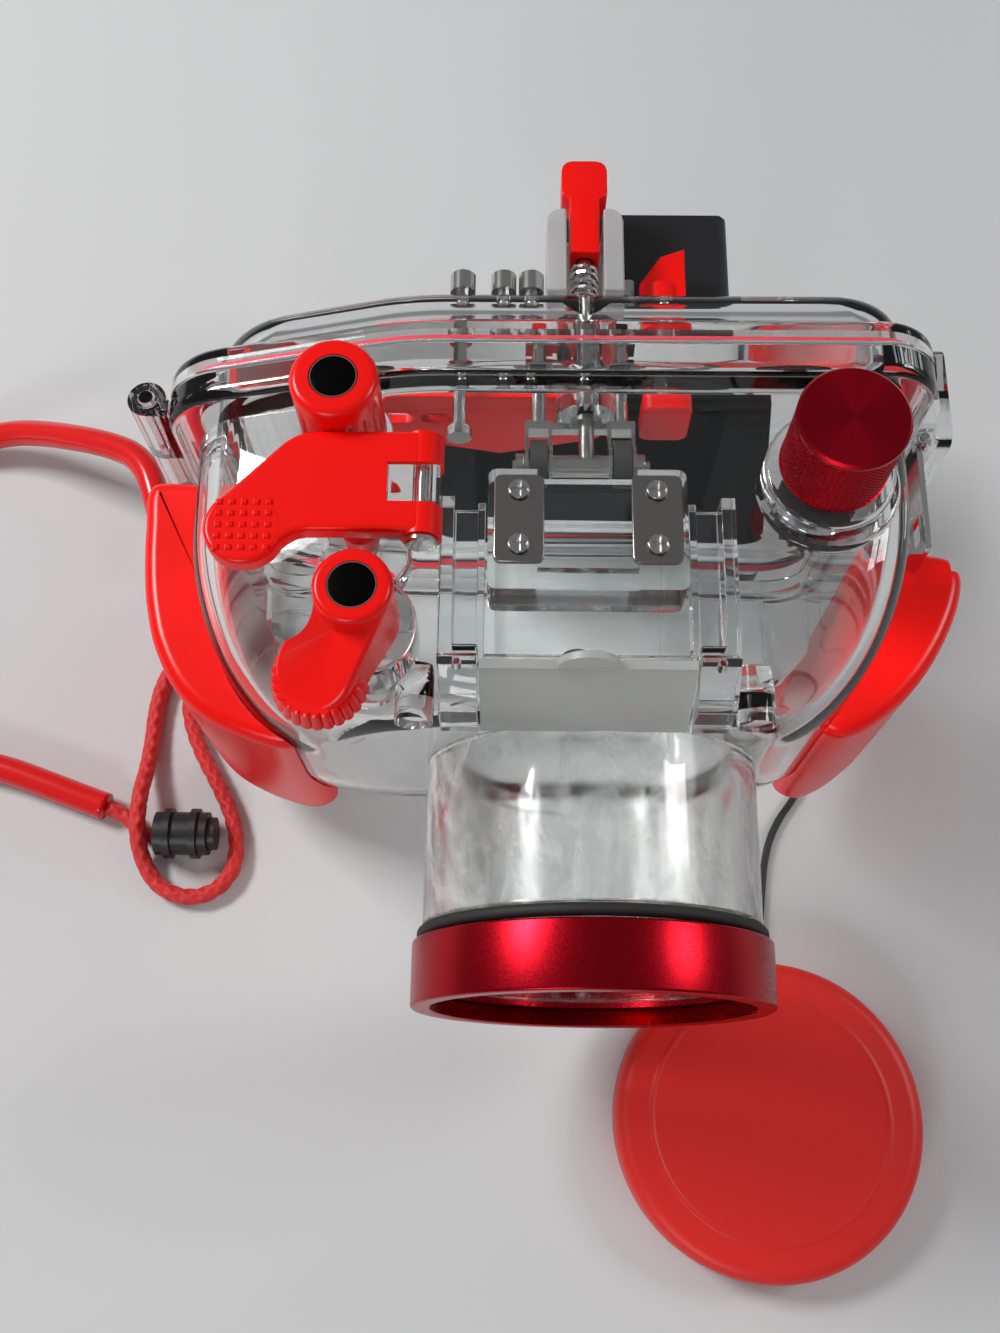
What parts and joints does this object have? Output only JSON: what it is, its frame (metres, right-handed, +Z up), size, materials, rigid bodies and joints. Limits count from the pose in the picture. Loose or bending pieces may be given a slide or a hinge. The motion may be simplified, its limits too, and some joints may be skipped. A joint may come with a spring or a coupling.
{
  "type": "underwater camera housing",
  "caption": "Clear two-part diving case for a compact camera, with a round lens port, red controls, side grips, hinged back door with latch, wrist strap and tethered lens cap.",
  "frame": {"origin": "on the base pad's face, straight below the lens axis, midway along the camera space", "axes": "the lens looks along -Y, +X is towards the latch, +Z is up from the base pad"},
  "size_m": [0.2838, 0.2314, 0.1349],
  "materials": {
    "clear": "moulded clear polycarbonate, polished",
    "frosted": "frosted white plastic",
    "milky": "milky translucent plastic",
    "red": "glossy red plastic",
    "soft_red": "soft-touch red plastic",
    "red_metal": "red anodised",
    "red_rubber": "red silicone",
    "red_cord": "glossy red sleeve and cord",
    "nickel": "warm nickel plate",
    "steel": "turned stainless steel",
    "black": "black plastic",
    "rubber": "black rubber",
    "glass": "flat clear port window"
  },
  "bodies": {
    "case": {"front_case": "clear", "port_tube": "clear", "port_o_ring": "rubber", "port_ring": "red_metal", "port_glass": "glass", "shoe_block": "clear", "shoe_plate_left": "nickel", "shoe_plate_right": "nickel", "shoe_screw_1": "steel", "shoe_screw_2": "steel", "shoe_screw_3": "steel", "shoe_screw_4": "steel", "lever_pin": "steel", "shutter_spring": "steel", "knob_washer": "nickel", "hinge_pin": "steel", "grip_left": "red", "grip_right": "red", "tripod_bush": "steel", "strap_tube": "red_cord", "strap_lead": "red_cord", "strap_loop": "red_cord", "cord_lock": "black", "tether": "black"},
    "diffuser": {"diffuser_frame": "clear", "diffuser_panel": "frosted"},
    "mode_dial": {"mode_dial_knob": "red", "mode_dial_cap": "black", "mode_dial_shaft": "rubber"},
    "shutter": {"shutter_lever": "red"},
    "plunger": {"shutter_plunger": "red"},
    "zoom_front": {"zoom_lever": "red", "zoom_lever_cap": "black", "zoom_lever_shaft": "steel"},
    "zoom_side": {"zoom_knob": "red_metal", "zoom_knob_shaft": "black"},
    "door": {"rear_case": "clear", "main_o_ring": "red_rubber", "lcd_hood": "black", "inner_backing": "black", "inner_red_panel": "red", "push_guard": "milky", "push_spring": "steel", "latch_pin": "steel"},
    "push_control": {"push_paddle": "red", "push_carriage": "steel"},
    "roller_1": {"roller_left": "rubber"},
    "roller_2": {"roller_right": "rubber"},
    "button_1": {"rear_button_1": "steel"},
    "button_2": {"rear_button_2": "steel"},
    "button_3": {"rear_button_3": "steel"},
    "button_4": {"rear_button_4": "steel"},
    "flag": {"rear_flag": "red", "flag_rod": "steel", "flag_block": "red"},
    "latch": {"latch_lever": "clear", "hook_pin": "steel"},
    "hook": {"latch_hook": "steel"},
    "cap": {"lens_cap": "soft_red"}
  },
  "joints": [
    {"name": "diffuser_slide", "type": "slide", "parent": "case", "child": "diffuser", "axis": [0, -1, 0], "range_m": [0, 0.05]},
    {"name": "mode_dial_turn", "type": "hinge", "parent": "case", "child": "mode_dial", "pos_m": [-0.0494, -0.0021, 0.12], "axis": [0, 0, 1], "continuous": true},
    {"name": "shutter_press", "type": "hinge", "parent": "case", "child": "shutter", "pos_m": [-0.0332, -0.0217, 0.1243], "axis": [0, -1, 0], "range_deg": [0, 6], "stiffness_Nm_per_rad": 0.15, "springref_deg": -5.73},
    {"name": "plunger_press", "type": "slide", "parent": "case", "child": "plunger", "axis": [0, 0, -1], "range_m": [0, 0.0014], "deforming": ["shutter_spring"]},
    {"name": "zoom_lever_turn", "type": "hinge", "parent": "case", "child": "zoom_front", "pos_m": [-0.0443, -0.0419, 0.122], "axis": [0, 0, 1], "range_deg": [-25, 25], "stiffness_Nm_per_rad": 0.03},
    {"name": "zoom_knob_turn", "type": "hinge", "parent": "case", "child": "zoom_side", "pos_m": [0.0427, -0.0108, 0.126], "axis": [0, 0, 1], "continuous": true},
    {"name": "door_hinge", "type": "hinge", "parent": "case", "child": "door", "pos_m": [-0.0933, 0.01415, 0.0695], "axis": [0, 0, 1], "range_deg": [0, 75]},
    {"name": "push_control_press", "type": "slide", "parent": "door", "child": "push_control", "axis": [0, -1, 0], "range_m": [0, 0.003], "stiffness_N_per_m": 200, "springref_m": -0.002, "deforming": ["push_spring"]},
    {"name": "roller_1_spin", "type": "hinge", "parent": "push_control", "child": "roller_1", "pos_m": [-0.012, -0.0029, 0.0994], "axis": [1, 0, 0], "continuous": true},
    {"name": "roller_2_spin", "type": "hinge", "parent": "push_control", "child": "roller_2", "pos_m": [0.0046, -0.0029, 0.0994], "axis": [1, 0, 0], "continuous": true},
    {"name": "rear_button_1_press", "type": "slide", "parent": "door", "child": "button_1", "axis": [0, -1, 0], "range_m": [0, 0.002], "stiffness_N_per_m": 300, "springref_m": -0.0005},
    {"name": "rear_button_2_press", "type": "slide", "parent": "door", "child": "button_2", "axis": [0, -1, 0], "range_m": [0, 0.002], "stiffness_N_per_m": 300, "springref_m": -0.0005},
    {"name": "rear_button_3_press", "type": "slide", "parent": "door", "child": "button_3", "axis": [0, -1, 0], "range_m": [0, 0.002], "stiffness_N_per_m": 300, "springref_m": -0.0005},
    {"name": "rear_button_4_press", "type": "slide", "parent": "door", "child": "button_4", "axis": [0, -1, 0], "range_m": [0, 0.002], "stiffness_N_per_m": 300, "springref_m": -0.0005},
    {"name": "flag_turn", "type": "hinge", "parent": "door", "child": "flag", "pos_m": [0.0142, 0.03, 0.095], "axis": [0, 1, 0], "range_deg": [-20, 20]},
    {"name": "latch_turn", "type": "hinge", "parent": "door", "child": "latch", "pos_m": [0.0685, 0.028, 0.074], "axis": [0, 0, 1], "range_deg": [0, 90]},
    {"name": "hook_turn", "type": "hinge", "parent": "latch", "child": "hook", "pos_m": [0.069, 0.01, 0.08375], "axis": [0, 0, 1], "range_deg": [-90, 0]},
    {"name": "lens_cap_off", "type": "slide", "parent": "case", "child": "cap", "axis": [0, -1, 0], "range_m": [0, 0.06]}
  ],
  "couplings": [
    {"joint": "plunger_press", "follows": "shutter_press", "m_per_rad": 0.0125},
    {"joint": "hook_turn", "follows": "latch_turn", "ratio": -1}
  ]
}
